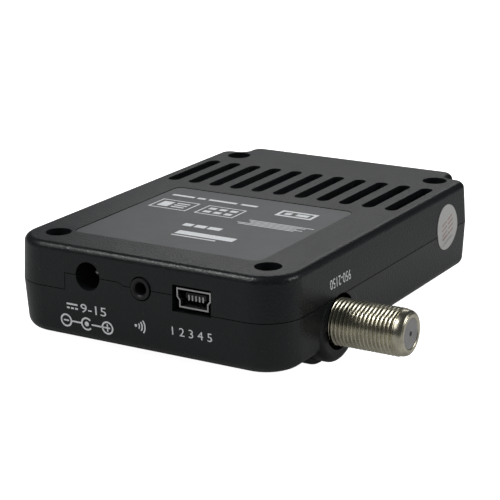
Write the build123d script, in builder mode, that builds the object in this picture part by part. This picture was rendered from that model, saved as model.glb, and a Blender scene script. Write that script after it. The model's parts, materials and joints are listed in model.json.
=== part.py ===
from build123d import *
import math
import os

# Palm-sized satellite television receiver: two moulded shells round one circuit board.
# Millimetres. +Z is the labelled, vented side, X runs along the jack wall and Y from the
# jack wall to the far end. The origin is the centre of the case's flat lower face.
# slip is the play between pieces that fit, touch a hair's breadth, and over is how far a
# cutter runs past what it cuts.

# ---------------------------------------------------------------- case
case_length = 89.0
case_width = 64.2
case_height = 19.4
parting_height = 10.4
wall = 2.0
skin = 1.9
upper_draft = 0.055
lower_draft = 0.063
top_edge = 1.5
lower_edge = 2.4
near_corner = 8.2
far_corner = 3.2
notch_fillet = 1.8
least_corner = 0.4
tongue_length = 5.4
shoulder_width = 5.3
seam = 0.15
lip_height = 1.0
lip_thickness = 0.9
lip_start_gap = 11.9
lip_end_gap = 11.1
lip_root = 2.0
slip = 0.1
touch = 0.02
over = 1.0

near_face = -case_length / 2
far_face = case_length / 2
body_far = far_face - tongue_length
half_width = case_width / 2
half_tongue = half_width - shoulder_width
ceiling = case_height - skin
floor = skin

# ---------------------------------------------------------------- circuit board
board_thickness = 1.6
board_rise = 0.65
board_gap = 0.2
board_top = parting_height + board_rise
board_bottom = board_top - board_thickness
board_inset = wall + slip + lip_thickness + board_gap

# ---------------------------------------------------------------- screws and their bosses
near_screw_side = 7.5
near_screw_end = 7.75
far_screw_side = 6.7
far_screw_end = 4.5
well_diameter = 5.4
well_wall = 1.2
well_ledge = 1.9
screw_diameter = 2.6
screw_length = 9.0
head_diameter = 4.8
head_height = 1.7
drive_size = 3.2
drive_blade = 0.55
drive_depth = 1.0
screw_clearance = 0.15
thread_clearance = 0.05
boss_wall = 1.9
blind_depth = 0.6

screw_seat = board_top + well_ledge
screw_tip = screw_seat - screw_length

# ---------------------------------------------------------------- vents and label
slot_count = 11
slot_side_gap = 3.45
slot_end_gap = 11.175
slot_width = 2.9
slot_length = 19.65
label_near_gap = 9.55
label_slot_gap = 4.225
label_width = 44.1
label_corner = 1.8
label_x = -0.5
label_recess = 0.3
label_film = 0.2
label_gap = 0.15
seal_diameter = 10.0
seal_film = 0.12
seal_end_gap = 12.0
seal_rise = 1.15

slot_pitch = (case_width - 2 * slot_side_gap - slot_width) / (slot_count - 1)
slot_centre_y = body_far - slot_end_gap - slot_length / 2
label_near = near_face + label_near_gap
label_far = slot_centre_y - slot_length / 2 - label_slot_gap
label_length = label_far - label_near
label_y = (label_near + label_far) / 2

# ---------------------------------------------------------------- F connector and hump
f_near_gap = 22.6
f_drop = 5.3
f_thread_diameter = 9.525
f_protrusion = 15.3
f_neck_diameter = 9.0
f_neck_proud = 0.3
f_nose_length = 1.4
f_nose_diameter = 9.1
f_nose_chamfer = 1.0
f_face_diameter = 8.1
f_flange_flats = 11.0
f_flange_thickness = 2.0
f_spigot_diameter = 4.2
f_core_diameter = 6.0
f_core_recess = 0.15
f_contact_diameter = 2.4
f_contact_hole = 1.1
f_contact_depth = 12.0
f_contact_recess = 1.0
f_contact_taper = 1.0
f_pin_reach = 5.0
f_hole_clearance = 0.95
hump_inner_gap = 0.15
hump_wall = 1.85
hump_rim = 1.5
hump_step = 1.05
hump_step_rim = 0.85
hump_step_back = 4.1
hump_straight = 9.0

f_y = near_face + f_near_gap
f_z = parting_height - f_drop
f_radius = f_thread_diameter / 2
f_hole_radius = f_radius + f_hole_clearance
f_flange_radius = f_flange_flats / 2 / math.cos(math.radians(30))
hump_radius = f_flange_radius + hump_inner_gap + hump_wall
hump_face = half_width
f_tip = hump_face + f_protrusion

# ---------------------------------------------------------------- tuner
can_length = 22.5
can_width = 22.0
can_sheet = 0.4
can_floor_gap = 0.2
can_wall_gap = 3.7
tuner_chip_size = 6.0
tuner_chip_height = 0.9
tuner_chip_offset = 4.0
tuner_crystal_length = 5.0
tuner_crystal_width = 3.2
tuner_crystal_height = 1.2
tuner_crystal_offset = -6.0

can_right = half_width - wall - can_wall_gap
can_centre_x = can_right - can_length / 2
can_low = floor + can_floor_gap

# ---------------------------------------------------------------- DC power jack
dc_x = -12.2
dc_hole_diameter = 5.8
dc_bore_diameter = 6.3
dc_body_width = 9.0
dc_body_length = 13.0
dc_ceiling_gap = 0.15
dc_top_wall = 0.3
dc_low_wall = 0.85
dc_bore_depth = 10.0
dc_pin_diameter = 2.1
dc_pin_recess = 1.0
dc_pin_tip = 0.5
dc_ear_width = 1.6
dc_ear_height = 1.2
dc_ear_length = 8.0
dc_spring_length = 7.0
dc_spring_height = 2.4
dc_spring_sheet = 0.3
dc_spring_bow = 0.5
dc_spring_travel = 6.0
dc_spring_gap = 0.1
dc_terminal_length = 1.6

dc_body_top = ceiling - dc_ceiling_gap
dc_z = dc_body_top - dc_top_wall - dc_bore_diameter / 2
dc_body_low = dc_z - dc_bore_diameter / 2 - dc_low_wall

# ---------------------------------------------------------------- IR sensor jack
ir_x = 0.4
ir_rise = 2.3
ir_hole_diameter = 4.9
ir_nozzle_diameter = 4.35
ir_bore_diameter = 2.6
ir_mouth_diameter = 3.1
ir_mouth_depth = 0.3
ir_body_width = 6.0
ir_body_height = 4.4
ir_body_length = 9.0
ir_bore_depth = 9.6
ir_nozzle_proud = 0.1
ir_spring_length = 4.6
ir_spring_height = 1.6
ir_spring_sheet = 0.2
ir_spring_bow = 0.2
ir_spring_travel = 6.0
ir_terminal_length = 1.0

ir_z = board_top + ir_rise

# ---------------------------------------------------------------- data socket (mini-USB shape)
usb_x = 12.5
usb_width = 7.7
usb_waist = 0.55
usb_height = 3.9
usb_sheet = 0.3
usb_length = 9.0
usb_recess = 0.3
usb_shoulder_top = 0.1
usb_shoulder_low = -0.55
usb_tongue_width = 4.6
usb_tongue_thick = 1.1
usb_tongue_back = 0.9
usb_tongue_rise = 0.35
usb_back_thick = 2.5
usb_contact_count = 5
usb_contact_pitch = 0.8
usb_contact_width = 0.45
usb_contact_thick = 0.15
usb_window_shift = -0.4
usb_window_drop = 0.25
usb_window_side = 1.05
usb_window_tall = 1.4

usb_z = board_top + usb_height / 2
usb_low_width = usb_width - 2 * usb_waist
usb_window_x = usb_x + usb_window_shift
usb_window_z = usb_z - usb_window_drop
usb_window_width = usb_width + usb_window_side
usb_window_height = usb_height + usb_window_tall

# ---------------------------------------------------------------- picture output (HDMI shape)
hdmi_x = 0.0
hdmi_width = 14.6
hdmi_waist = 1.5
hdmi_ceiling_gap = 0.85
hdmi_sheet = 0.35
hdmi_length = 11.0
hdmi_recess = 0.6
hdmi_shoulder = 1.6
hdmi_tongue_width = 10.6
hdmi_tongue_thick = 1.2
hdmi_tongue_back = 1.2
hdmi_back_thick = 3.0
hdmi_contact_count = 10
hdmi_contact_pitch = 1.0
hdmi_contact_width = 0.5
hdmi_contact_thick = 0.12
hdmi_window_gap = 0.4

hdmi_low_width = hdmi_width - 2 * hdmi_waist
hdmi_height = ceiling - hdmi_ceiling_gap - board_top
hdmi_z = board_top + hdmi_height / 2
hdmi_face = far_face - hdmi_recess

# ---------------------------------------------------------------- jack tab of the lower shell
tab_dc_side = 5.5
tab_dc_drop = 0.1
tab_dc_run = 7.2
tab_slope_run = 1.45
tab_ir_drop = 0.15
tab_margin = 0.6

tab_left = dc_x - tab_dc_side
tab_dc_line = dc_z - tab_dc_drop
tab_slope_start = dc_x + tab_dc_run
tab_slope_end = tab_slope_start + tab_slope_run
tab_ir_line = ir_z - tab_ir_drop
tab_right = usb_window_x - usb_window_width / 2
tab_depth = wall + tab_margin

# ---------------------------------------------------------------- parts on the board
decoder_size = 19.0
decoder_height = 1.2
decoder_x = -4.0
decoder_y = 17.0
pad_inset = 1.0
pad_height = 0.4
sink_size = 22.0
sink_gap = 0.65
sink_base = 1.2
sink_fins = 8
sink_fin = 0.9
memory_length = 22.2
memory_width = 10.2
memory_height = 1.0
memory_side = 10.1
memory_y = 15.0
flash_length = 5.2
flash_width = 5.2
flash_height = 1.7
flash_x = 17.0
flash_y = 24.0
clock_length = 11.0
clock_width = 4.6
clock_height = 3.5
clock_edge = 0.46
clock_x = 17.5
clock_y = 12.0
left_column_side = 8.1
right_column_side = 10.1
capacitor_diameter = 6.3
capacitor_gap = 1.05
capacitor_base = 0.9
capacitor_foot = 6.6
left_column = left_column_side - half_width
right_column = half_width - right_column_side
capacitor_places = [
    (left_column, -24.0), (-16.5, -21.0), (left_column, -8.0), (right_column, -9.0),
]
inductor_size = 6.2
inductor_height = 3.2
inductor_corner = 1.4
inductor_places = [(-4.0, -20.0), (-14.0, -10.0)]
regulator_length = 6.5
regulator_width = 3.5
regulator_height = 1.6
regulator_places = [(4.5, -19.0), (-6.0, -3.0), (14.0, -4.0)]
chip_length = 1.6
chip_width = 0.8
chip_height = 0.6
chip_columns = 6
chip_rows = 3
chip_pitch_x = 3.0
chip_pitch_y = 2.2
chip_x = 6.0
chip_y = -11.0


# ================================================================ helpers
def at_y(y):
    """Plane across Y with X to the right and Z up."""
    return Plane.XZ.offset(-y)


def finish(piece, label):
    """Name a finished piece and write it."""
    piece.part.label = label
    export_step(piece.part, f"parts/{label}.step")


def block(x, y, z_low, size_x, size_y, size_z, mode=Mode.ADD):
    """Box centred on (x, y) and standing on z_low."""
    with Locations((x, y, z_low)):
        Box(size_x, size_y, size_z, align=(Align.CENTER, Align.CENTER, Align.MIN), mode=mode)


def turned(points, y, z):
    """Solid turned about a line along X at (y, z), from (x, radius) points."""
    with BuildPart() as solid:
        with BuildSketch(Plane(origin=(0, y, z), x_dir=(1, 0, 0), z_dir=(0, -1, 0))):
            with BuildLine():
                Polyline(*points, close=True)
            make_face()
        revolve(axis=Axis((0, y, z), (1, 0, 0)))
    return solid.part


def round_corners(x, y, radius):
    """Round the sketch's corners that lie at (x, y) and (-x, y)."""
    found = vertices().filter_by(
        lambda v: abs(abs(v.X) - x) < touch and abs(v.Y - y) < touch
    )
    fillet(found, radius)


def case_plan(inset):
    """Outline of the case at the parting plane, moved inwards by inset."""
    side = half_width - inset
    near = near_face + inset
    body = body_far - inset
    tongue = half_tongue - inset
    far = far_face - inset
    with BuildSketch() as plan:
        with BuildLine():
            Polyline(
                (-side, near), (side, near), (side, body), (tongue, body),
                (tongue, far), (-tongue, far), (-tongue, body), (-side, body),
                close=True,
            )
        make_face()
        round_corners(side, near, near_corner - inset)
        round_corners(side, body, max(far_corner - inset, least_corner))
        round_corners(tongue, body, notch_fillet)
        round_corners(tongue, far, max(far_corner - inset, least_corner))
    return plan.sketch


def case_form(inset, low, high):
    """Block of the case's outline that narrows both ways from the parting plane."""
    upper_inset = inset + upper_draft * (high - parting_height)
    lower_inset = inset + lower_draft * (parting_height - low)
    with BuildPart() as form:
        for level, level_inset in ((high, upper_inset), (low, lower_inset)):
            with BuildSketch(Plane.XY.offset(parting_height)):
                add(case_plan(inset))
            with BuildSketch(Plane.XY.offset(level)):
                add(case_plan(level_inset))
            loft(ruled=True)
    return form.part


def case_outside():
    """Outer form of the closed case, with its rounded edges."""
    with BuildPart() as form:
        add(case_form(0, 0, case_height))
        fillet(faces().sort_by(Axis.Z)[-1].edges(), top_edge)
        fillet(faces().sort_by(Axis.Z)[0].edges(), lower_edge)
    return form.part


def case_hollow():
    """Straight-sided space inside the closed case."""
    with BuildPart() as hollow:
        with BuildSketch(Plane.XY.offset(floor)):
            add(case_plan(wall))
        extrude(amount=ceiling - floor)
    return hollow.part


def tab_prism(grow):
    """Stepped tab of the jack wall that belongs to the lower shell."""
    with BuildPart() as tab:
        with BuildSketch(at_y(near_face - over)):
            with BuildLine():
                Polyline(
                    (tab_left - grow, parting_height - over),
                    (tab_left - grow, tab_dc_line + grow),
                    (tab_slope_start, tab_dc_line + grow),
                    (tab_slope_end, tab_ir_line + grow),
                    (tab_right + touch, tab_ir_line + grow),
                    (tab_right + touch, parting_height - over),
                    close=True,
                )
            make_face()
        extrude(amount=-(over + tab_depth + grow))
    return tab.part


def jack_cutter():
    """Rods and block that open the jack wall, through both shells where they meet."""
    with BuildPart() as cutter:
        with BuildSketch(at_y(near_face - over)):
            with Locations((dc_x, dc_z)):
                Circle(dc_hole_diameter / 2)
            with Locations((ir_x, ir_z)):
                Circle(ir_hole_diameter / 2)
            with Locations((usb_window_x, usb_window_z)):
                Rectangle(usb_window_width, usb_window_height)
        extrude(amount=-(over + wall + over))
    return cutter.part


def screw_places():
    """The four screw axes."""
    near_x = half_width - near_screw_side
    near_y = near_face + near_screw_end
    far_x = half_width - far_screw_side
    far_y = body_far - far_screw_end
    return [(-near_x, near_y), (near_x, near_y), (-far_x, far_y), (far_x, far_y)]


def rods(radius, low, high):
    """A round rod on each screw axis."""
    with BuildPart() as group:
        with BuildSketch(Plane.XY.offset(low)):
            with Locations(*screw_places()):
                Circle(radius)
        extrude(amount=high - low)
    return group.part


def hump_form(inset, face, rim, step_rim):
    """Two-step round hump on the F connector's axis with a ball-shaped inner end."""
    radius = hump_radius - inset
    large = radius + hump_step
    step_x = hump_face - hump_step_back - inset
    ball_x = hump_face - hump_step_back - hump_straight
    with BuildPart() as hump:
        with BuildSketch(Plane(origin=(0, f_y, f_z), x_dir=(1, 0, 0), z_dir=(0, -1, 0))):
            with BuildLine():
                Line((ball_x - large, 0), (face, 0))
                Line((face, 0), (face, radius - rim))
                if rim:
                    JernArc((face, radius - rim), (0, 1), rim, 90)
                Line((face - rim, radius), (step_x, radius))
                Line((step_x, radius), (step_x, large - step_rim))
                if step_rim:
                    JernArc((step_x, large - step_rim), (0, 1), step_rim, 90)
                Line((step_x - step_rim, large), (ball_x, large))
                JernArc((ball_x, large), (-1, 0), large, 90)
            make_face()
        revolve(axis=Axis((0, f_y, f_z), (1, 0, 0)))
    return hump.part


def f_hole_cutter():
    return turned([(can_right, 0), (hump_face + over, 0), (hump_face + over, f_hole_radius),
                   (can_right, f_hole_radius)], f_y, f_z)


# ================================================================ case
def make_upper_shell():
    with BuildPart() as below_seam:
        block(0, 0, -case_height, 2 * case_length, 2 * case_length,
              case_height + parting_height + seam)
        add(tab_prism(seam))

    with BuildPart() as upper_shell:
        add(case_outside())
        add(case_hollow(), mode=Mode.SUBTRACT)
        add(rods(well_diameter / 2 + well_wall, board_top, ceiling + skin / 2))
        add(below_seam.part, mode=Mode.SUBTRACT)
        add(rods(well_diameter / 2, screw_seat, case_height + over), mode=Mode.SUBTRACT)
        add(rods(screw_diameter / 2 + screw_clearance, 0, screw_seat + over), mode=Mode.SUBTRACT)
        with BuildSketch(Plane.XY.offset(case_height)):
            with Locations((0, slot_centre_y)):
                with GridLocations(slot_pitch, 1, slot_count, 1):
                    SlotOverall(slot_length, slot_width, rotation=90)
        extrude(amount=-2 * skin, mode=Mode.SUBTRACT)
        with BuildSketch(Plane.XY.offset(case_height)):
            with Locations((label_x, label_y)):
                RectangleRounded(label_width, label_length, label_corner)
        extrude(amount=-label_recess, mode=Mode.SUBTRACT)
        add(f_hole_cutter(), mode=Mode.SUBTRACT)
        add(jack_cutter(), mode=Mode.SUBTRACT)
        with BuildSketch(at_y(far_face + over)):
            with Locations((hdmi_x, hdmi_z)):
                Rectangle(hdmi_width + 2 * hdmi_window_gap, hdmi_height + 2 * hdmi_window_gap)
        extrude(amount=over + wall + over, mode=Mode.SUBTRACT)
    finish(upper_shell, "upper_shell")


def make_lower_shell():
    with BuildPart() as above_parting:
        block(0, 0, parting_height, 2 * case_length, 2 * case_length, case_height)
        add(tab_prism(0), mode=Mode.SUBTRACT)

    with BuildPart() as lower_shell:
        add(case_outside())
        add(hump_form(0, hump_face, hump_rim, hump_step_rim))
        add(above_parting.part, mode=Mode.SUBTRACT)
        add(case_hollow(), mode=Mode.SUBTRACT)
        add(hump_form(hump_wall, hump_face - wall, 0, 0), mode=Mode.SUBTRACT)
        lip_outer = half_width - wall - slip
        lip_start = f_y + lip_start_gap
        lip_end = body_far - lip_end_gap
        lip_middle = (lip_start + lip_end) / 2
        for side in (-1, 1):
            block(side * (lip_outer - lip_thickness / 2), lip_middle, parting_height - lip_root,
                  lip_thickness, lip_end - lip_start, lip_root + lip_height)
            block(side * lip_outer, lip_middle, parting_height - lip_root,
                  2 * lip_thickness, lip_end - lip_start, lip_root - slip)
        add(rods(screw_diameter / 2 + boss_wall, floor - skin / 2, board_bottom))
        add(rods(screw_diameter / 2 + thread_clearance, screw_tip - blind_depth,
                 board_bottom + over), mode=Mode.SUBTRACT)
        add(f_hole_cutter(), mode=Mode.SUBTRACT)
        add(jack_cutter(), mode=Mode.SUBTRACT)
    finish(lower_shell, "lower_shell")


def make_rating_plate():
    with BuildPart() as rating_plate:
        with BuildSketch(Plane.XY.offset(case_height - label_recess)):
            with Locations((label_x, label_y)):
                RectangleRounded(label_width - 2 * label_gap, label_length - 2 * label_gap,
                                 label_corner - label_gap)
        extrude(amount=label_film)
    finish(rating_plate, "rating_plate")


def make_seal_sticker():
    with BuildPart() as seal_sticker:
        add(case_form(-seal_film, 0, case_height))
        with BuildSketch(Plane.YZ.offset(half_width - wall)):
            with Locations((body_far - seal_end_gap, parting_height + seal_rise)):
                Circle(seal_diameter / 2)
        extrude(amount=2 * wall, mode=Mode.INTERSECT)
        add(case_form(0, 0, case_height), mode=Mode.SUBTRACT)
    finish(seal_sticker, "seal_sticker")


def make_case_screws():
    head_top = screw_seat + head_height
    with BuildPart() as case_screws:
        add(rods(screw_diameter / 2, screw_tip, screw_seat))
        add(rods(head_diameter / 2, screw_seat, head_top))
        with BuildSketch(Plane.XY.offset(head_top)):
            with Locations(*screw_places()):
                Rectangle(drive_size, drive_blade)
                Rectangle(drive_blade, drive_size)
        extrude(amount=-drive_depth, mode=Mode.SUBTRACT)
    finish(case_screws, "case_screws")


# ================================================================ board and tuner
def make_circuit_board():
    notch_half = f_flange_radius + slip + board_gap
    with BuildPart() as circuit_board:
        with BuildSketch(Plane.XY.offset(board_bottom)):
            add(case_plan(board_inset))
            with Locations((half_width, f_y)):
                Rectangle(2 * (half_width - can_right + slip), 2 * notch_half,
                          mode=Mode.SUBTRACT)
            with Locations((dc_x, near_face)):
                Rectangle(dc_body_width + 2 * slip, 2 * (wall + slip + dc_body_length + slip),
                          mode=Mode.SUBTRACT)
            with Locations(*screw_places()):
                Circle(screw_diameter / 2 + screw_clearance, mode=Mode.SUBTRACT)
        extrude(amount=board_thickness)
    finish(circuit_board, "circuit_board")


def make_tuner():
    can_height = board_bottom - can_low
    with BuildPart() as tuner_can:
        block(can_centre_x, f_y, can_low + can_sheet, can_length, can_width,
              can_height - can_sheet)
        block(can_centre_x, f_y, can_low, can_length - 2 * can_sheet,
              can_width - 2 * can_sheet, can_height, mode=Mode.SUBTRACT)
        add(turned([(can_right - over, 0), (can_right + over, 0),
                    (can_right + over, f_spigot_diameter / 2 + slip),
                    (can_right - over, f_spigot_diameter / 2 + slip)], f_y, f_z),
            mode=Mode.SUBTRACT)
    finish(tuner_can, "tuner_can")

    with BuildPart() as tuner_lid:
        block(can_centre_x, f_y, can_low, can_length, can_width, can_sheet)
        block(can_centre_x, f_y, can_low + can_sheet, can_length - 2 * (can_sheet + slip),
              can_width - 2 * (can_sheet + slip), can_sheet)
        block(can_centre_x, f_y, can_low + can_sheet, can_length - 4 * can_sheet - 2 * slip,
              can_width - 4 * can_sheet - 2 * slip, can_height, mode=Mode.SUBTRACT)
    finish(tuner_lid, "tuner_lid")

    with BuildPart() as tuner_chip:
        block(can_centre_x - tuner_chip_offset, f_y, board_bottom - tuner_chip_height,
              tuner_chip_size, tuner_chip_size, tuner_chip_height)
    finish(tuner_chip, "tuner_chip")

    with BuildPart() as tuner_crystal:
        block(can_centre_x - tuner_chip_offset, f_y + tuner_crystal_offset,
              board_bottom - tuner_crystal_height, tuner_crystal_length,
              tuner_crystal_width, tuner_crystal_height)
    finish(tuner_crystal, "tuner_crystal")


def make_f_connector():
    core = f_core_diameter / 2
    core_start = can_right + f_flange_thickness
    neck = f_neck_diameter / 2
    thread_start = hump_face + f_neck_proud
    nose_start = f_tip - f_nose_length
    back = can_right - can_sheet
    with BuildPart() as f_connector_body:
        with BuildSketch(Plane.YZ.offset(can_right)):
            with Locations((f_y, f_z)):
                RegularPolygon(f_flange_radius, 6)
        extrude(amount=f_flange_thickness)
        add(turned([(back, 0), (back, f_spigot_diameter / 2), (can_right, f_spigot_diameter / 2),
                    (can_right, neck), (thread_start, neck),
                    (thread_start, f_radius), (nose_start, f_radius),
                    (nose_start, f_nose_diameter / 2),
                    (f_tip - f_nose_chamfer, f_nose_diameter / 2),
                    (f_tip, f_face_diameter / 2), (f_tip, 0)], f_y, f_z))
        add(turned([(core_start, 0), (f_tip + over, 0), (f_tip + over, core),
                    (core_start, core)], f_y, f_z), mode=Mode.SUBTRACT)
        add(turned([(back - over, 0), (f_tip, 0), (f_tip, f_contact_diameter / 2 + slip),
                    (back - over, f_contact_diameter / 2 + slip)], f_y, f_z),
            mode=Mode.SUBTRACT)
    finish(f_connector_body, "f_connector_body")

    core_face = f_tip - f_core_recess
    contact_end = f_tip - f_contact_recess
    with BuildPart() as f_connector_insulator:
        add(turned([(core_start, 0), (core_face, 0), (core_face, core), (core_start, core)],
                   f_y, f_z))
        add(turned([(can_right, 0), (contact_end, 0), (contact_end, f_contact_diameter / 2),
                    (can_right, f_contact_diameter / 2)], f_y, f_z), mode=Mode.SUBTRACT)
        add(turned([(can_right, 0), (f_tip, 0), (f_tip, f_contact_hole / 2),
                    (can_right, f_contact_hole / 2)], f_y, f_z), mode=Mode.SUBTRACT)
    finish(f_connector_insulator, "f_connector_insulator")

    tail = back - f_pin_reach
    with BuildPart() as f_connector_contact:
        add(turned([(tail, 0), (contact_end, 0), (contact_end, f_contact_diameter / 2),
                    (can_right + f_contact_taper, f_contact_diameter / 2),
                    (can_right, f_contact_hole / 2),
                    (tail, f_contact_hole / 2)], f_y, f_z))
        add(turned([(f_tip - f_contact_depth, 0), (f_tip, 0), (f_tip, f_contact_hole / 2),
                    (f_tip - f_contact_depth, f_contact_hole / 2)], f_y, f_z),
            mode=Mode.SUBTRACT)
    finish(f_connector_contact, "f_connector_contact")


# ================================================================ jacks
def make_dc_jack():
    face = near_face + wall + slip
    back = face + dc_body_length
    bore = dc_bore_diameter / 2
    bore_end = face + dc_bore_depth
    spring_left = dc_x + bore - dc_spring_bow
    spring_root = bore_end - dc_spring_gap
    sweep = dc_spring_length * math.sin(math.radians(dc_spring_travel))
    pocket_right = spring_left + dc_spring_sheet + sweep + dc_spring_gap
    pocket_left = dc_x + bore / 2
    pocket_length = dc_spring_length + dc_terminal_length + 2 * dc_spring_gap
    with BuildPart() as dc_jack_housing:
        block(dc_x, (face + back) / 2, dc_body_low, dc_body_width, dc_body_length,
              dc_body_top - dc_body_low)
        block(dc_x, back - dc_ear_length / 2, board_top, dc_body_width + 2 * dc_ear_width,
              dc_ear_length, dc_ear_height)
        with BuildSketch(at_y(face)):
            with Locations((dc_x, dc_z)):
                Circle(bore)
        extrude(amount=-dc_bore_depth, mode=Mode.SUBTRACT)
        block((pocket_left + pocket_right) / 2,
              spring_root - dc_spring_length + pocket_length / 2 - dc_spring_gap,
              dc_z - dc_spring_height / 2 - dc_spring_gap, pocket_right - pocket_left,
              pocket_length, dc_spring_height + 2 * dc_spring_gap, mode=Mode.SUBTRACT)
        with BuildSketch(at_y(bore_end)):
            with Locations((dc_x, dc_z)):
                Circle(dc_pin_diameter / 2)
        extrude(amount=-dc_body_length, mode=Mode.SUBTRACT)
    finish(dc_jack_housing, "dc_jack_housing")

    with BuildPart() as dc_jack_pin:
        with BuildSketch(at_y(face + dc_pin_recess)):
            with Locations((dc_x, dc_z)):
                Circle(dc_pin_diameter / 2)
        extrude(amount=-(dc_body_length - dc_pin_recess))
        fillet(faces().sort_by(Axis.Y)[0].edges(), dc_pin_tip)
    finish(dc_jack_pin, "dc_jack_pin")

    with BuildPart() as dc_jack_spring:
        block(spring_left + dc_spring_sheet / 2, spring_root - dc_spring_length / 2,
              dc_z - dc_spring_height / 2, dc_spring_sheet, dc_spring_length, dc_spring_height)
    finish(dc_jack_spring, "dc_jack_spring")

    with BuildPart() as dc_jack_terminal:
        block(spring_left + dc_spring_sheet, spring_root + dc_spring_gap + dc_terminal_length / 2,
              dc_z - dc_spring_height / 2, 2 * dc_spring_sheet, dc_terminal_length,
              dc_spring_height)
    finish(dc_jack_terminal, "dc_jack_terminal")


def make_ir_jack():
    face = near_face + wall + slip
    nozzle_face = near_face - ir_nozzle_proud
    bore = ir_bore_diameter / 2
    bore_end = nozzle_face + ir_bore_depth
    spring_left = ir_x + bore - ir_spring_bow
    spring_root = bore_end - dc_spring_gap
    sweep = ir_spring_length * math.sin(math.radians(ir_spring_travel))
    pocket_right = spring_left + ir_spring_sheet + sweep + dc_spring_gap
    pocket_left = ir_x + bore / 2
    pocket_length = ir_spring_length + ir_terminal_length + 2 * dc_spring_gap
    with BuildPart() as ir_jack_housing:
        block(ir_x, face + ir_body_length / 2, board_top, ir_body_width, ir_body_length,
              ir_body_height)
        with BuildSketch(at_y(face)):
            with Locations((ir_x, ir_z)):
                Circle(ir_nozzle_diameter / 2)
        extrude(amount=face - nozzle_face)
        with BuildSketch(at_y(nozzle_face)):
            with Locations((ir_x, ir_z)):
                Circle(bore)
        extrude(amount=-ir_bore_depth, mode=Mode.SUBTRACT)
        mouth = edges().filter_by(GeomType.CIRCLE).sort_by(Axis.Y)[:2].sort_by(SortBy.RADIUS)[0]
        chamfer(mouth, ir_mouth_depth, (ir_mouth_diameter - ir_bore_diameter) / 2)
        block((pocket_left + pocket_right) / 2,
              spring_root - ir_spring_length + pocket_length / 2 - dc_spring_gap,
              ir_z - ir_spring_height / 2 - dc_spring_gap, pocket_right - pocket_left,
              pocket_length, ir_spring_height + 2 * dc_spring_gap, mode=Mode.SUBTRACT)
    finish(ir_jack_housing, "ir_jack_housing")

    with BuildPart() as ir_jack_spring:
        block(spring_left + ir_spring_sheet / 2, spring_root - ir_spring_length / 2,
              ir_z - ir_spring_height / 2, ir_spring_sheet, ir_spring_length, ir_spring_height)
    finish(ir_jack_spring, "ir_jack_spring")

    with BuildPart() as ir_jack_terminal:
        block(spring_left + ir_spring_sheet, spring_root + dc_spring_gap + ir_terminal_length / 2,
              ir_z - ir_spring_height / 2, 2 * ir_spring_sheet, ir_terminal_length,
              ir_spring_height)
    finish(ir_jack_terminal, "ir_jack_terminal")


def socket_outline(top_half, low_half, height, shoulder_top, shoulder_low, shrink):
    """Flat-topped socket outline that narrows below its shoulders."""
    half = height / 2
    with BuildSketch() as outline:
        with BuildLine():
            Polyline(
                (-top_half, half), (top_half, half), (top_half, shoulder_top),
                (low_half, shoulder_low), (low_half, -half), (-low_half, -half),
                (-low_half, shoulder_low), (-top_half, shoulder_top), close=True,
            )
        make_face()
        if shrink:
            offset(amount=-shrink, kind=Kind.INTERSECTION, mode=Mode.REPLACE)
    return outline.sketch


def make_usb_socket():
    face = near_face + usb_recess
    origin = Plane(origin=(usb_x, face, usb_z), x_dir=(1, 0, 0), z_dir=(0, -1, 0))
    shape = (usb_width / 2, usb_low_width / 2, usb_height, usb_shoulder_top, usb_shoulder_low)
    with BuildPart() as usb_shell:
        with BuildSketch(origin):
            add(socket_outline(*shape, 0))
        extrude(amount=-usb_length)
        with BuildSketch(origin):
            add(socket_outline(*shape, usb_sheet))
        extrude(amount=-usb_length, mode=Mode.SUBTRACT)
    finish(usb_shell, "usb_shell")

    tongue_reach = usb_length - usb_tongue_back
    with BuildPart() as usb_tongue:
        with BuildSketch(origin.offset(usb_back_thick - usb_length)):
            add(socket_outline(*shape, usb_sheet))
        extrude(amount=-usb_back_thick)
        block(usb_x, face + usb_tongue_back + tongue_reach / 2,
              usb_z + usb_tongue_rise - usb_tongue_thick / 2, usb_tongue_width, tongue_reach,
              usb_tongue_thick)
    finish(usb_tongue, "usb_tongue")

    contact_length = tongue_reach - usb_back_thick - 2 * slip
    with BuildPart() as usb_contacts:
        with Locations((usb_x, face + usb_tongue_back + contact_length / 2 + slip,
                        usb_z + usb_tongue_rise - usb_tongue_thick / 2)):
            with GridLocations(usb_contact_pitch, 1, usb_contact_count, 1):
                Box(usb_contact_width, contact_length, usb_contact_thick,
                    align=(Align.CENTER, Align.CENTER, Align.MAX))
    finish(usb_contacts, "usb_contacts")


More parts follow.
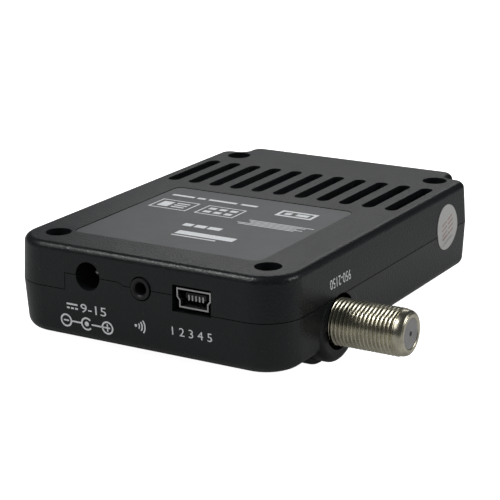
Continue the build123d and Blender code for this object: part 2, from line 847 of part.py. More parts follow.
def make_hdmi_socket():
    origin = Plane(origin=(hdmi_x, hdmi_face, hdmi_z), x_dir=(-1, 0, 0), z_dir=(0, 1, 0))
    shape = (hdmi_width / 2, hdmi_low_width / 2, hdmi_height,
             -hdmi_height / 2 + 2 * hdmi_shoulder, -hdmi_height / 2 + hdmi_shoulder / 2)
    with BuildPart() as hdmi_shell:
        with BuildSketch(origin):
            add(socket_outline(*shape, 0))
        extrude(amount=-hdmi_length)
        with BuildSketch(origin):
            add(socket_outline(*shape, hdmi_sheet))
        extrude(amount=-hdmi_length, mode=Mode.SUBTRACT)
    finish(hdmi_shell, "hdmi_shell")

    tongue_reach = hdmi_length - hdmi_tongue_back
    with BuildPart() as hdmi_tongue:
        with BuildSketch(origin.offset(hdmi_back_thick - hdmi_length)):
            add(socket_outline(*shape, hdmi_sheet))
        extrude(amount=-hdmi_back_thick)
        block(hdmi_x, hdmi_face - hdmi_tongue_back - tongue_reach / 2,
              hdmi_z - hdmi_tongue_thick / 2, hdmi_tongue_width, tongue_reach,
              hdmi_tongue_thick)
    finish(hdmi_tongue, "hdmi_tongue")

    contact_length = tongue_reach - hdmi_back_thick - 2 * slip
    with BuildPart() as hdmi_contacts:
        for side in (-1, 1):
            with Locations((hdmi_x, hdmi_face - hdmi_tongue_back - contact_length / 2 - slip,
                            hdmi_z + side * (hdmi_tongue_thick + hdmi_contact_thick) / 2)):
                with GridLocations(hdmi_contact_pitch, 1, hdmi_contact_count, 1):
                    Box(hdmi_contact_width, contact_length, hdmi_contact_thick)
    finish(hdmi_contacts, "hdmi_contacts")


# ================================================================ parts on the board
def make_processor():
    with BuildPart() as decoder_chip:
        block(decoder_x, decoder_y, board_top, decoder_size, decoder_size, decoder_height)
    finish(decoder_chip, "decoder_chip")

    pad_top = board_top + decoder_height + pad_height
    with BuildPart() as thermal_pad:
        block(decoder_x, decoder_y, pad_top - pad_height, decoder_size - 2 * pad_inset,
              decoder_size - 2 * pad_inset, pad_height)
    finish(thermal_pad, "thermal_pad")

    fin_gap = (sink_size - sink_fin) / (sink_fins - 1)
    with BuildPart() as heat_sink:
        block(decoder_x, decoder_y, pad_top, sink_size, sink_size, sink_base)
        with Locations((decoder_x, decoder_y, pad_top + sink_base)):
            with GridLocations(fin_gap, 1, sink_fins, 1):
                Box(sink_fin, sink_size, ceiling - sink_gap - pad_top - sink_base,
                    align=(Align.CENTER, Align.CENTER, Align.MIN))
    finish(heat_sink, "heat_sink")


def make_memory():
    with BuildPart() as memory_chip:
        block(memory_side - half_width, memory_y, board_top, memory_width, memory_length,
              memory_height)
    finish(memory_chip, "memory_chip")

    with BuildPart() as flash_chip:
        block(flash_x, flash_y, board_top, flash_width, flash_length, flash_height)
    finish(flash_chip, "flash_chip")

    with BuildPart() as clock_crystal:
        with BuildSketch(Plane.XY.offset(board_top)):
            with Locations((clock_x, clock_y)):
                SlotOverall(clock_length, clock_width)
        extrude(amount=clock_height)
        fillet(faces().sort_by(Axis.Z)[-1].edges(), clock_edge)
    finish(clock_crystal, "clock_crystal")


def make_power_parts():
    with BuildPart() as filter_capacitors:
        with BuildSketch(Plane.XY.offset(board_top)):
            with Locations(*capacitor_places):
                Rectangle(capacitor_foot, capacitor_foot)
        extrude(amount=capacitor_base)
        with BuildSketch(Plane.XY.offset(board_top + capacitor_base)):
            with Locations(*capacitor_places):
                Circle(capacitor_diameter / 2)
        extrude(amount=ceiling - capacitor_gap - board_top - capacitor_base)
    finish(filter_capacitors, "filter_capacitors")

    with BuildPart() as power_inductors:
        with BuildSketch(Plane.XY.offset(board_top)):
            with Locations(*inductor_places):
                RectangleRounded(inductor_size, inductor_size, inductor_corner)
        extrude(amount=inductor_height)
    finish(power_inductors, "power_inductors")

    with BuildPart() as regulator_chips:
        with Locations(*[(x, y, board_top) for x, y in regulator_places]):
            Box(regulator_length, regulator_width, regulator_height,
                align=(Align.CENTER, Align.CENTER, Align.MIN))
    finish(regulator_chips, "regulator_chips")

    with BuildPart() as chip_passives:
        with Locations((chip_x, chip_y, board_top)):
            with GridLocations(chip_pitch_x, chip_pitch_y, chip_columns, chip_rows):
                Box(chip_length, chip_width, chip_height,
                    align=(Align.CENTER, Align.CENTER, Align.MIN))
    finish(chip_passives, "chip_passives")


os.makedirs("parts", exist_ok=True)
make_upper_shell()
make_lower_shell()
make_rating_plate()
make_seal_sticker()
make_case_screws()
make_circuit_board()
make_tuner()
make_f_connector()
make_dc_jack()
make_ir_jack()
make_usb_socket()
make_hdmi_socket()
make_processor()
make_memory()
make_power_parts()
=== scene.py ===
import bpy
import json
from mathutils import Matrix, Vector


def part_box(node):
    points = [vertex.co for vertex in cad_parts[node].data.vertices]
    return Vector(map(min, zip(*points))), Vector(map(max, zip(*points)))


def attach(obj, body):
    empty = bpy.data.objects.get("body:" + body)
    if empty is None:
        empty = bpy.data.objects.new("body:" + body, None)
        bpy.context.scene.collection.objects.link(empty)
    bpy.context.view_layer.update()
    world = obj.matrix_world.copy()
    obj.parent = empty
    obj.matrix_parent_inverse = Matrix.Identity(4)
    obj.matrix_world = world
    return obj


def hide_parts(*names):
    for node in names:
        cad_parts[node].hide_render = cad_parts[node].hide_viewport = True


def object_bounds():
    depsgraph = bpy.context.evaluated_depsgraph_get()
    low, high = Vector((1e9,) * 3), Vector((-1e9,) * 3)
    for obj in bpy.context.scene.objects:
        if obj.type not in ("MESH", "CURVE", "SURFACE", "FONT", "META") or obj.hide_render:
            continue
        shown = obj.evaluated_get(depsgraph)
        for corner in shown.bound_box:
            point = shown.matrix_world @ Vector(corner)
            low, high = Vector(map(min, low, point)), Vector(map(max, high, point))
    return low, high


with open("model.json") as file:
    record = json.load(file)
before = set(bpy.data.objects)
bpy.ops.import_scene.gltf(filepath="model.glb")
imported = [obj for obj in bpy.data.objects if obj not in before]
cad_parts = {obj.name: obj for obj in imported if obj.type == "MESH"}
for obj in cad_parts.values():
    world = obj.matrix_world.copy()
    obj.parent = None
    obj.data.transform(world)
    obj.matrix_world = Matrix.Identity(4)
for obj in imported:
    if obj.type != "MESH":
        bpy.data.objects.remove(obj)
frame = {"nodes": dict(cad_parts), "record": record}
CAD_BOX = [list(corner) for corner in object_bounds()]

import json
import math

import bmesh
import bpy
from bpy.props import FloatProperty, FloatVectorProperty, PointerProperty
from mathutils import Euler, Matrix, Vector
from mathutils.bvhtree import BVHTree

bl_info = {
    "name": "Satellite Receiver",
    "version": (1, 0, 0),
    "blender": (4, 5, 0),
    "location": "View3D > Sidebar > Receiver",
    "description": "Finishes and fine detail of a palm-sized satellite television receiver",
    "category": "Object",
}

MM = 0.001
AWAY = 5 * MM  # how far outside the object a ray towards one of its walls starts
NODES = frame["nodes"]
ROOT = "receiver"


# ---------------------------------------------------------------- settings
class ReceiverSizes(bpy.types.PropertyGroup):
    """Sizes of the fine detail, in metres."""

    thread_pitch: FloatProperty(
        name="Thread Pitch", description="Distance between two turns of the aerial thread",
        default=0.87 * MM, unit="LENGTH")
    thread_depth: FloatProperty(
        name="Thread Depth", description="Depth of the aerial thread's grooves",
        default=0.45 * MM, unit="LENGTH")
    thread_run: FloatProperty(
        name="Thread Run", description="Length of the threaded stretch of the aerial connector",
        default=14.1 * MM, unit="LENGTH")
    ink_thickness: FloatProperty(
        name="Ink Thickness", description="Thickness of the printed marks",
        default=0.02 * MM, unit="LENGTH")
    grain_size: FloatProperty(
        name="Grain Size", description="Size of the moulded texture's grains",
        default=0.34 * MM, unit="LENGTH")
    grain_depth: FloatProperty(
        name="Grain Depth", description="Depth of the moulded texture",
        default=0.034 * MM, unit="LENGTH")
    floor_size: FloatProperty(
        name="Floor Size", description="Side of the studio floor", default=6.0, unit="LENGTH")


class ReceiverColours(bpy.types.PropertyGroup):
    """Colours of the finishes."""

    case: FloatVectorProperty(
        name="Case", description="Moulded case plastic", subtype="COLOR",
        default=(0.0078, 0.0093, 0.0101), min=0, max=1)
    label: FloatVectorProperty(
        name="Label", description="Grey film of the rating plate", subtype="COLOR",
        default=(0.072, 0.0755, 0.0775), min=0, max=1)
    ink: FloatVectorProperty(
        name="Ink", description="Grey-white printed marks", subtype="COLOR",
        default=(0.8, 0.82, 0.83), min=0, max=1)
    nickel: FloatVectorProperty(
        name="Nickel", description="Plating of the connector and sockets", subtype="COLOR",
        default=(0.62, 0.59, 0.46), min=0, max=1)
    paper: FloatVectorProperty(
        name="Paper", description="Round paper seal", subtype="COLOR",
        default=(0.49, 0.49, 0.47), min=0, max=1)
    board: FloatVectorProperty(
        name="Board", description="Solder mask of the circuit board", subtype="COLOR",
        default=(0.006, 0.03, 0.015), min=0, max=1)
    seal_ink: FloatVectorProperty(
        name="Seal Ink", description="Faded red strokes on the paper seal", subtype="COLOR",
        default=(0.42, 0.27, 0.25), min=0, max=1)


def sizes():
    """The scene's sizes."""
    return bpy.context.scene.receiver_sizes


def colours():
    """The scene's colours."""
    return bpy.context.scene.receiver_colours


# ---------------------------------------------------------------- shader maths
class Wire:
    """A shader socket that takes part in Python sums."""

    def __init__(self, finish, socket):
        self.finish = finish
        self.socket = socket

    def maths(self, operation, first, second):
        return self.finish.node("ShaderNodeMath", {"operation": operation}, {0: first, 1: second})

    def __add__(self, other):
        return self.maths("ADD", self, other)

    def __radd__(self, other):
        return self.maths("ADD", other, self)

    def __mul__(self, other):
        return self.maths("MULTIPLY", self, other)

    def __rmul__(self, other):
        return self.maths("MULTIPLY", other, self)


class Finish:
    """A material under construction."""

    def __init__(self, name):
        self.material = bpy.data.materials.new(name)
        self.material.use_nodes = True
        self.tree = self.material.node_tree
        self.tree.nodes.clear()
        self.place = self.node("ShaderNodeTexCoord", output="Object")

    def node(self, kind, settings=None, sockets=None, output=0):
        """Add a node, set it up, feed its sockets and give back one output."""
        made = self.tree.nodes.new(kind)
        for name, value in (settings or {}).items():
            setattr(made, name, value)
        for key, value in (sockets or {}).items():
            if isinstance(value, Wire):
                self.tree.links.new(value.socket, made.inputs[key])
            else:
                made.inputs[key].default_value = value
        return Wire(self, made.outputs[output])

    def noise(self, size, detail=2.0, roughness=0.5, place=None):
        """Cloudy noise from 0 to 1 whose lumps are about size metres wide."""
        return self.node("ShaderNodeTexNoise", sockets={
            "Vector": place or self.place, "Scale": 1 / size, "Detail": detail,
            "Roughness": roughness})

    def cells(self, size, settings):
        """Distance to the middle of cells that are about size metres wide."""
        return self.node("ShaderNodeTexVoronoi", settings,
                         {"Vector": self.place, "Scale": 1 / size}, "Distance")

    def spread(self, value, low, high, to_low=0.0, to_high=1.0):
        """Map a value from one range to another and clamp it."""
        return self.node("ShaderNodeMapRange", sockets={
            "Value": value, "From Min": low, "From Max": high, "To Min": to_low,
            "To Max": to_high})

    def blend(self, share, first, second):
        """Mix two colours; a Mix node keeps its colour sockets after those of other types."""
        factor, colour_a, colour_b, result = 0, 6, 7, 2
        return self.node("ShaderNodeMix", {"data_type": "RGBA"},
                         {factor: share, colour_a: first, colour_b: second}, result)

    def bump(self, height, depth):
        """Normal of a surface raised by height times depth metres."""
        return self.node("ShaderNodeBump", sockets={
            "Height": height, "Distance": depth, "Strength": 1.0}, output="Normal")

    def done(self, **sockets):
        """Close the tree with a Principled surface and give back the material."""
        named = {key.replace("_", " ").title().replace("Ior", "IOR"): value
                 for key, value in sockets.items()}
        surface = self.node("ShaderNodeBsdfPrincipled", sockets=named)
        self.node_output(surface)
        return self.material

    def node_output(self, surface):
        """Link a surface to the material's output."""
        out = self.tree.nodes.new("ShaderNodeOutputMaterial")
        self.tree.links.new(surface.socket, out.inputs["Surface"])


def rgba(colour, scale=1.0):
    """Colour with its channels scaled, fully opaque."""
    return (*[channel * scale for channel in colour[:3]], 1.0)


# ---------------------------------------------------------------- finishes
def case_plastic():
    """Black moulded plastic with a fine satin texture and a little dust."""
    f = Finish("case_plastic")
    grain_size, cloud_size, speck_size = sizes().grain_size, 9 * MM, 0.45 * MM
    dust_share, dust_colour = 0.12, (0.3, 0.3, 0.29, 1.0)
    smoothest, roughest = 0.27, 0.33
    grain = f.cells(grain_size, {"feature": "SMOOTH_F1"})
    fine = f.noise(grain_size * 0.5, 3.0, 0.6)
    cloud = f.noise(cloud_size, 3.0)
    coarse = f.noise(grain_size * 1.3, 1.0, 0.4)
    dust = f.spread(f.noise(speck_size, 1.0), 0.73, 0.80)
    tone = f.spread(cloud, 0.3, 0.7)
    base = f.blend(tone, rgba(colours().case, 0.9), rgba(colours().case, 1.12))
    base = f.blend(dust * dust_share, base, dust_colour)
    height = grain * 0.7 + fine * 0.4 + coarse * 1.6
    return f.done(
        base_color=base, specular_ior_level=0.36, normal=f.bump(height, sizes().grain_depth),
        roughness=f.spread(cloud + fine * 0.4, 0.4, 1.0, smoothest, roughest))


def plain_plastic(name, colour, rough, grain):
    """Moulded plastic with faint flow marks."""
    f = Finish(name)
    cloud = f.noise(3 * MM, 3.0)
    fine = f.noise(grain, 2.0)
    base = f.blend(f.spread(cloud, 0.3, 0.7), rgba(colour, 0.88), rgba(colour, 1.15))
    return f.done(base_color=base, roughness=f.spread(fine, 0.3, 0.7, rough - 0.05, rough + 0.07),
                  normal=f.bump(fine, 0.01 * MM), specular_ior_level=0.3)


def label_film():
    """Dark grey semi-gloss film with the faint waves of glue under it."""
    f = Finish("label_film")
    wave = f.noise(7 * MM, 2.0)
    fine = f.noise(0.12 * MM, 2.0)
    base = f.blend(f.spread(wave, 0.3, 0.7), rgba(colours().label, 0.93),
                   rgba(colours().label, 1.07))
    return f.done(base_color=base, roughness=f.spread(fine, 0.3, 0.7, 0.33, 0.42),
                  normal=f.bump(wave * 3.0 + fine * 0.05, 0.02 * MM))


def seal_paper():
    """Thin pale paper."""
    f = Finish("seal_paper")
    fibre = f.noise(0.2 * MM, 4.0, 0.7)
    crease = f.noise(2.2 * MM, 2.0)
    base = f.blend(f.spread(fibre, 0.25, 0.75), rgba(colours().paper, 0.86),
                   rgba(colours().paper, 1.1))
    return f.done(base_color=base, roughness=0.6,
                  normal=f.bump(fibre * 0.3 + crease, 0.03 * MM))


def printed_ink(name, colour):
    """Pad-printed ink, thin enough for the texture to show."""
    f = Finish(name)
    worn = f.noise(0.25 * MM, 3.0, 0.7)
    base = f.blend(f.spread(worn, 0.3, 0.62), rgba(colour, 0.72), rgba(colour))
    return f.done(base_color=base, roughness=0.55, normal=f.bump(worn, 0.01 * MM))


def plated(name, colour, rough, streak=(1.0, 1.0, 1.0), depth=0.006 * MM):
    """Plated metal with fine tool marks and a little tarnish."""
    f = Finish(name)
    stretched = f.node("ShaderNodeMapping", sockets={"Vector": f.place, "Scale": streak},
                       output="Vector")
    marks = f.noise(0.15 * MM, 3.0, 0.6, place=stretched)
    tarnish = f.noise(2.5 * MM, 4.0, 0.6)
    base = f.blend(f.spread(tarnish, 0.45, 0.75), rgba(colour), rgba(colour, 0.72))
    return f.done(base_color=base, metallic=1.0,
                  roughness=f.spread(marks + tarnish * 0.5, 0.5, 1.0, rough, rough + 0.14),
                  normal=f.bump(marks, depth))


def board_laminate():
    """Green solder mask with copper tracks showing through it."""
    f = Finish("board_laminate")
    track_size, track_repeat = 2.6 * MM, 0.11
    rings = f.cells(track_size, {"feature": "F1", "distance": "MANHATTAN"})
    ring = f.node("ShaderNodeMath", {"operation": "PINGPONG"}, {0: rings, 1: track_repeat})
    track = f.spread(ring, 0.05, 0.065)
    base = f.blend(track, rgba(colours().board), rgba(colours().board, 1.9))
    return f.done(base_color=base, roughness=0.28, coat_weight=0.4,
                  normal=f.bump(track, 0.03 * MM))


def chip_resin():
    """Black moulded epoxy with a matt, slightly grainy top."""
    f = Finish("chip_resin")
    grit = f.noise(0.09 * MM, 3.0, 0.7)
    base = f.blend(f.spread(grit, 0.3, 0.7), (0.018, 0.018, 0.019, 1), (0.034, 0.034, 0.036, 1))
    return f.done(base_color=base, roughness=0.6, normal=f.bump(grit, 0.02 * MM))


def pressed_powder():
    """Grey ceramic and pressed ferrite."""
    f = Finish("ferrite")
    grit = f.noise(0.12 * MM, 4.0, 0.7)
    base = f.blend(f.spread(grit, 0.3, 0.7), (0.06, 0.06, 0.065, 1), (0.13, 0.13, 0.135, 1))
    return f.done(base_color=base, roughness=0.5, normal=f.bump(grit, 0.02 * MM))


def soft_pad():
    """Grey silicone pad."""
    f = Finish("pad_rubber")
    grit = f.noise(0.3 * MM, 2.0)
    base = f.blend(grit, (0.3, 0.32, 0.38, 1), (0.42, 0.44, 0.5, 1))
    return f.done(base_color=base, roughness=0.85, normal=f.bump(grit, 0.03 * MM))


def make_finishes():
    """Every material, by the name of its slot."""
    nickel = colours().nickel
    return {
        "case_plastic": case_plastic(),
        "label_film": label_film(),
        "seal_paper": seal_paper(),
        "screw_steel": plated("screw_steel", (0.16, 0.16, 0.17), 0.38),
        "nickel_plate": plated("nickel_plate", nickel, 0.2, (1.0, 0.3, 0.3), 0.0012 * MM),
        "tin_plate": plated("tin_plate", (0.55, 0.55, 0.54), 0.26, depth=0.003 * MM),
        "pin_metal": plated("pin_metal", (0.22, 0.22, 0.22), 0.12, depth=0.001 * MM),
        "ivory_plastic": plain_plastic("ivory_plastic", (0.27, 0.265, 0.26), 0.5, 0.2 * MM),
        "contact_metal": plated("contact_metal", (0.72, 0.56, 0.3), 0.28),
        "chip_resin": chip_resin(),
        "board_laminate": board_laminate(),
        "jack_plastic": plain_plastic("jack_plastic", (0.014, 0.014, 0.016), 0.38, 0.2 * MM),
        "pad_rubber": soft_pad(),
        "sink_aluminium": plated("sink_aluminium", (0.66, 0.67, 0.69), 0.32, (1.0, 0.15, 1.0)),
        "ferrite": pressed_powder(),
        "printed_ink": printed_ink("printed_ink", colours().ink),
        "seal_ink": printed_ink("seal_ink", colours().seal_ink),
        "solder": plated("solder", (0.62, 0.63, 0.64), 0.22, depth=0.003 * MM),
    }


FINISHES = {}


# ---------------------------------------------------------------- mesh helpers
def own_piece(name, mesh, finish):
    """Link a finished mesh as a piece that rides on the receiver."""
    piece = bpy.data.objects.new(name, mesh)
    bpy.context.scene.collection.objects.link(piece)
    mesh.materials.clear()
    mesh.materials.append(FINISHES[finish])
    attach(piece, ROOT)
    return piece


def soften(mesh, angle=40.0):
    """Smooth shading with sharp creases past an angle in degrees."""
    mesh.shade_smooth()
    mesh.set_sharp_from_angle(angle=math.radians(angle))
    return mesh


def mesh_of(builder, name):
    """Turn a bmesh into a mesh with outward faces."""
    bmesh.ops.recalc_face_normals(builder, faces=builder.faces)
    mesh = bpy.data.meshes.new(name)
    builder.to_mesh(mesh)
    builder.free()
    return mesh


def wall_of(node):
    """Search tree of a node's surface."""
    builder = bmesh.new()
    builder.from_mesh(NODES[node].data)
    tree = BVHTree.FromBMesh(builder)
    builder.free()
    return tree


def wall_frame(node, start, inward, right):
    """Frame on a node's wall: origin where the ray from start lands, Z out of the wall."""
    tree = wall_of(node)
    inward = Vector(inward)
    place, normal, _, _ = tree.ray_cast(Vector(start), inward)
    if normal.dot(inward) > 0:
        normal = -normal
    across = (Vector(right) - Vector(right).project(normal)).normalized()
    up = normal.cross(across)
    return Matrix.Translation(place) @ Matrix((across, up, normal)).transposed().to_4x4()


# ---------------------------------------------------------------- printed marks
class Marks:
    """Flat printed shapes, drawn in millimetres and raised by the ink's thickness."""

    def __init__(self):
        self.builder = bmesh.new()

    def outline(self, points):
        """Close a shape round its points and give it the ink's thickness."""
        ring = [self.builder.verts.new((x * MM, y * MM, 0.0)) for x, y in points]
        face = self.builder.faces.new(ring)
        raised = bmesh.ops.extrude_face_region(self.builder, geom=[face])["geom"]
        lift = [v for v in raised if isinstance(v, bmesh.types.BMVert)]
        bmesh.ops.translate(self.builder, verts=lift, vec=(0, 0, sizes().ink_thickness))

    def bar(self, x, y, width, height, turn=0.0):
        """A bar centred on (x, y), turned by degrees."""
        c, s = math.cos(math.radians(turn)), math.sin(math.radians(turn))
        corners = [(-width, -height), (width, -height), (width, height), (-width, height)]
        self.outline([(x + (u * c - v * s) / 2, y + (u * s + v * c) / 2) for u, v in corners])

    def arc(self, x, y, radius, line, start=0.0, end=360.0, steps=48):
        """A ring, or a stretch of one, of the given line width."""
        closed = end - start >= 360.0
        count = max(3, round(steps * (end - start) / 360.0))
        for i in range(count):
            a, b = (math.radians(start + (end - start) * (i + k) / count) for k in (0, 1))
            inner, outer = radius - line / 2, radius + line / 2
            self.outline([
                (x + inner * math.cos(a), y + inner * math.sin(a)),
                (x + outer * math.cos(a), y + outer * math.sin(a)),
                (x + outer * math.cos(b), y + outer * math.sin(b)),
                (x + inner * math.cos(b), y + inner * math.sin(b))])
        if closed:
            bmesh.ops.remove_doubles(self.builder, verts=self.builder.verts, dist=0.002 * MM)

    def disc(self, x, y, radius, steps=32):
        """A filled disc."""
        turns = [2 * math.pi * i / steps for i in range(steps)]
        self.outline([(x + radius * math.cos(t), y + radius * math.sin(t)) for t in turns])

    def box(self, x, y, width, height, line):
        """An empty rectangle drawn with a line."""
        for side in (-1, 1):
            self.bar(x, y + side * (height - line) / 2, width, line)
            self.bar(x + side * (width - line) / 2, y, line, height - 2 * line)

    def digits(self, text, x, y, height, width):
        """Plain figures in a box of the given height and width, centred on (x, y)."""
        curve = bpy.data.curves.new("figures", "FONT")
        curve.body = text
        curve.size = 1.0
        curve.extrude = 0.5
        curve.resolution_u = 3
        holder = bpy.data.objects.new("figures", curve)
        bpy.context.scene.collection.objects.link(holder)
        bpy.context.view_layer.update()
        mesh = bpy.data.meshes.new_from_object(holder)
        bpy.data.objects.remove(holder)
        xs, ys = ([v.co[k] for v in mesh.vertices] for k in (0, 1))
        sx = width * MM / (max(xs) - min(xs))
        sy = height * MM / (max(ys) - min(ys))
        middle = Vector(((max(xs) + min(xs)) / 2, (max(ys) + min(ys)) / 2, -0.5))
        place = Matrix.Translation((x * MM, y * MM, 0))
        mesh.transform(place @ Matrix.Diagonal((sx, sy, sizes().ink_thickness, 1))
                       @ Matrix.Translation(-middle))
        self.builder.from_mesh(mesh)
        bpy.data.meshes.remove(mesh)

    def lay(self, name, wall, finish="printed_ink"):
        """Put the marks on a wall frame as one piece."""
        self.builder.transform(wall)
        return own_piece(name, mesh_of(self.builder, name), finish)


def jack_wall(x, z):
    """Frame on the jack wall at (x, z) millimetres."""
    before_wall = CAD_BOX[0][1] - AWAY
    return wall_frame("lower_shell", (x * MM, before_wall, z * MM), (0, 1, 0), (1, 0, 0))


def print_polarity_mark():
    """Centre-positive symbol: minus ring, open ring with a dot, plus ring."""
    spacing, ring, line = 5.03, 1.22, 0.36
    thin, sign_length, arm_length, arm_middle = line * 0.9, 1.25, 0.62, 0.47
    dot, dot_lead, opening = 0.52, 0.5, 42
    marks = Marks()
    for side in (-1, 1):
        marks.arc(side * spacing, 0, ring, line)
        marks.bar(side * spacing, 0, sign_length, thin)
    for side in (1, -1):
        marks.bar(spacing, side * arm_middle, thin, arm_length)
    marks.arc(0, 0, ring, line, opening, 360 - opening)
    marks.disc(0, 0, dot)
    marks.bar(-spacing / 2, 0, spacing - 2 * ring - line, thin)
    marks.bar((spacing + dot_lead) / 2, 0, spacing - ring - line / 2 - dot_lead, thin)
    marks.lay("polarity_mark", jack_wall(x=-13.05, z=3.85))


def print_power_figures():
    """Direct-current sign and plain figures over the polarity mark."""
    sign_x, sign_length, half_gap, line = -3.55, 2.7, 0.42, 0.36
    dash, dash_pitch = 0.68, 1.0
    marks = Marks()
    marks.bar(sign_x, half_gap, sign_length, line)
    for step in (-1, 0, 1):
        marks.bar(sign_x + step * dash_pitch, -half_gap, dash, line)
    marks.digits("9-15", x=1.6, y=0, height=1.85, width=6.2)
    marks.lay("power_figures", jack_wall(x=-12.75, z=7.1))


def print_sensor_sign():
    """Dot and three arcs of a light beam."""
    source_x, dot, line, half_angle = -1.1, 0.3, 0.3, 38
    marks = Marks()
    marks.disc(source_x, 0, dot)
    for radius in (0.85, 1.5, 2.15):
        marks.arc(source_x, 0, radius, line, -half_angle, half_angle)
    marks.lay("sensor_sign", jack_wall(x=0.0, z=5.6))


def print_data_figures():
    """Pin numbers of the data socket."""
    marks = Marks()
    marks.digits("1 2 3 4 5", x=0, y=0, height=1.75, width=9.1)
    marks.lay("data_figures", jack_wall(x=11.9, z=6.0))


def print_aerial_figures():
    """Frequency figures above the aerial connector, read from the far side."""
    beside_wall, y, z = CAD_BOX[1][0] + AWAY, -21.65 * MM, 13.55 * MM
    wall = wall_frame("upper_shell", (beside_wall, y, z), (-1, 0, 0), (0, -1, 0))
    marks = Marks()
    marks.digits("950-2150", x=0, y=0, height=2.0, width=8.4)
    marks.lay("aerial_figures", wall)


def print_rating_marks():
    """Blank frames, blocks and rules of a rating plate."""
    title_row, badge_row, frame_row, block_row = 13.2, 11.5, 6.4, -5.0
    marks = Marks()
    for x in (-15.2, -3.6):
        marks.box(x, frame_row, 9.4, 6.2, 0.32)
    marks.bar(-17.3, frame_row, 2.6, 3.4)
    for step in (-1, 0, 1):
        marks.bar(-13.6, frame_row + step * 1.3, 3.2, 0.6)
    for i in range(3):
        for step in (-1, 1):
            marks.bar(-6.2 + i * 2.6, frame_row + step * 1.2, 1.7, 1.3)
    for x, width in ((-17.2, 5.6), (-12.6, 2.0), (-7.2, 7.0), (-0.6, 4.0)):
        marks.bar(x, title_row, width, 0.95)
    marks.box(11.9, badge_row, 8.6, 4.0, 0.7)
    for x, width in ((9.9, 1.5), (13.3, 2.9)):
        marks.bar(x, badge_row, width, 1.4)
    for i in range(5):
        marks.bar(12.6 - i * 0.5, 3.9 - i * 0.75, 15.2 - (i % 3) * 2.2, 0.3)
    for x, width in ((-4.2, 2.2), (-1.2, 2.6), (2.2, 3.0)):
        marks.bar(x, block_row, width, 1.7)
    marks.bar(3.2, -10.1, 13.6, 2.2)
    marks.bar(1.6, -12.2, 10.4, 0.5)
    centre_y, above = -15 * MM, 30 * MM
    top = wall_frame("rating_plate", (0, centre_y, above), (0, 0, -1), (1, 0, 0))
    marks.lay("rating_marks", top)


def print_seal_strokes():
    """Faded slanting strokes on the paper seal, and a painted shade line along a fold in it."""
    low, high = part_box("seal_sticker")
    middle = (low + high) / 2
    wall = wall_frame("seal_sticker", (high.x + AWAY, middle.y, middle.z), (-1, 0, 0), (0, 1, 0))
    radius = (high.y - low.y) / 2 / MM
    margin, shift, stroke, line = 1.0, 0.25, 0.8, 0.3
    slant, cosine, sine = 17.5, 0.95, 0.3
    marks = Marks()
    for away in (-1.5, -0.5, 0.5, 1.5):
        half = math.sqrt((radius - margin) ** 2 - away ** 2) * stroke
        for part in (-0.5, 0.5):
            along = part * half + shift * away
            marks.bar(along * cosine - away * sine, along * sine + away * cosine, half * stroke,
                      line, slant)
    marks.lay("seal_strokes", wall, "seal_ink")
    # Painted shade: a thin strip of the dark label grey stands for the shade along a fold in the
    # seal's paper.
    crease = Marks()
    crease.bar(-0.4, -3.0, 5.2, 0.07, slant)
    crease.lay("seal_crease", wall, "label_film")


# ---------------------------------------------------------------- repeated detail
class Tree:
    """A Geometry Nodes tree under construction."""

    def __init__(self, name):
        self.group = bpy.data.node_groups.new(name, "GeometryNodeTree")
        self.group.interface.new_socket("Geometry", in_out="OUTPUT",
                                        socket_type="NodeSocketGeometry")
        self.identifiers = {}

    def input(self, name, kind):
        """Add a named input."""
        made = self.group.interface.new_socket(name, in_out="INPUT", socket_type=kind)
        self.identifiers[name] = made.identifier

    def node(self, kind, settings=None, links=None):
        """Add a node, set it up and feed its sockets."""
        made = self.group.nodes.new(kind)
        for name, value in (settings or {}).items():
            setattr(made, name, value)
        for key, value in (links or {}).items():
            if isinstance(value, bpy.types.NodeSocket):
                self.group.links.new(value, made.inputs[key])
            else:
                made.inputs[key].default_value = value
        return made


def repeat(name, places, pattern, finish):
    """Instance a pattern mesh on places (x, y, z, turn) and keep the result as a plain mesh."""
    points = bpy.data.meshes.new(name + "_points")
    points.from_pydata([place[:3] for place in places], [], [])
    turns = points.attributes.new("turn", "FLOAT", "POINT")
    turns.data.foreach_set("value", [place[3] for place in places])
    holder = bpy.data.objects.new(name + "_points", points)
    shape = bpy.data.objects.new(name + "_pattern", pattern)
    bpy.context.scene.collection.objects.link(holder)
    bpy.context.scene.collection.objects.link(shape)
    tree = Tree(name)
    tree.input("Geometry", "NodeSocketGeometry")
    tree.input("Pattern", "NodeSocketObject")
    tree.input("Pattern Size", "NodeSocketFloat")
    inputs = tree.node("NodeGroupInput").outputs
    info = tree.node("GeometryNodeObjectInfo", links={"Object": inputs["Pattern"]})
    turn = tree.node("GeometryNodeInputNamedAttribute", {"data_type": "FLOAT"}, {"Name": "turn"})
    spin = tree.node("ShaderNodeCombineXYZ", links={"Z": turn.outputs["Attribute"]})
    placed = tree.node("GeometryNodeInstanceOnPoints", links={
        "Points": inputs["Geometry"], "Instance": info.outputs["Geometry"],
        "Rotation": spin.outputs[0], "Scale": inputs["Pattern Size"]})
    real = tree.node("GeometryNodeRealizeInstances", links={"Geometry": placed.outputs[0]})
    coated = tree.node("GeometryNodeSetMaterial", links={
        "Geometry": real.outputs[0], "Material": FINISHES[finish]})
    tree.node("NodeGroupOutput", links={"Geometry": coated.outputs[0]})
    modifier = holder.modifiers.new(name, "NODES")
    modifier.node_group = tree.group
    modifier[tree.identifiers["Pattern"]] = shape
    modifier[tree.identifiers["Pattern Size"]] = 1.0
    bpy.context.view_layer.update()
    graph = bpy.context.evaluated_depsgraph_get()
    mesh = bpy.data.meshes.new_from_object(holder.evaluated_get(graph))
    holder.modifiers.clear()
    bpy.data.objects.remove(holder)
    bpy.data.objects.remove(shape)
    if not mesh.polygons:
        raise RuntimeError(name + " has no faces")
    mesh.name = name
    return own_piece(name, soften(mesh, 35), finish)


